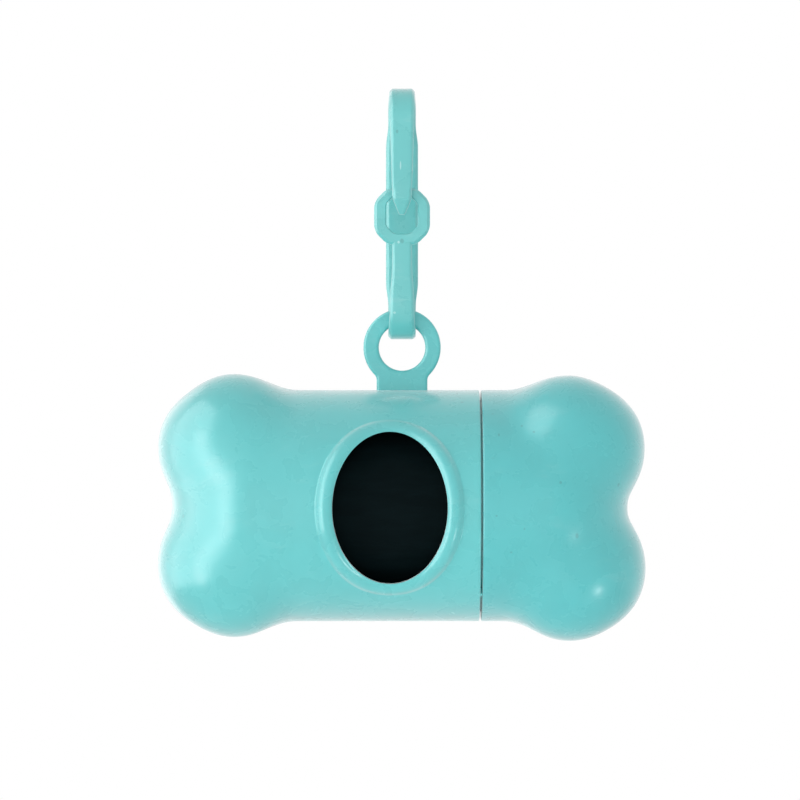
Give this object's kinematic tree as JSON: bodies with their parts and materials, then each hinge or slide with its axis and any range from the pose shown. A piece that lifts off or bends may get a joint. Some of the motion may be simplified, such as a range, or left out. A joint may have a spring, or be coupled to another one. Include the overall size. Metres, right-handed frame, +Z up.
{
  "type": "dog poop bag dispenser",
  "caption": "Bone-shaped plastic bag dispenser with an oval window, a pull-off end cap, a bag roll inside and a sprung lead clip.",
  "frame": {"origin": "centre of the clip's top loop, where a lead or a ring goes through", "axes": "+X along the bone to its cap, the window faces -Y, +Z up: the dispenser hangs from the origin"},
  "size_m": [0.0838, 0.0413, 0.0949],
  "materials": {
    "clip_plastic": "satin moulded plastic",
    "shell_plastic": "satin moulded plastic, faintly mottled",
    "cap_plastic": "satin moulded plastic, faintly mottled",
    "bag_film": "thin matte film, wound",
    "core_card": "grey-brown cardboard tube"
  },
  "bodies": {
    "clip": {"clip_body": "clip_plastic"},
    "gate": {"clip_gate": "clip_plastic"},
    "shell": {"main_shell": "shell_plastic"},
    "cap": {"end_cap": "cap_plastic"},
    "roll": {"bag_roll": "bag_film", "roll_core": "core_card"}
  },
  "joints": [
    {"name": "gate_flex", "type": "hinge", "parent": "clip", "child": "gate", "pos_m": [0, -0.005, -0.0015], "axis": [-1, 0, 0], "range_deg": [0, 20], "stiffness_Nm_per_rad": 0.15},
    {"name": "shell_swing", "type": "hinge", "parent": "clip", "child": "shell", "pos_m": [0, 0, -0.0316], "axis": [1, 0, 0], "range_deg": [-100, 120]},
    {"name": "cap_pull", "type": "slide", "parent": "shell", "child": "cap", "axis": [1, 0, 0], "range_m": [0, 0.06]},
    {"name": "roll_spin", "type": "hinge", "parent": "shell", "child": "roll", "pos_m": [0, 0, -0.06668], "axis": [1, 0, 0], "continuous": true}
  ]
}
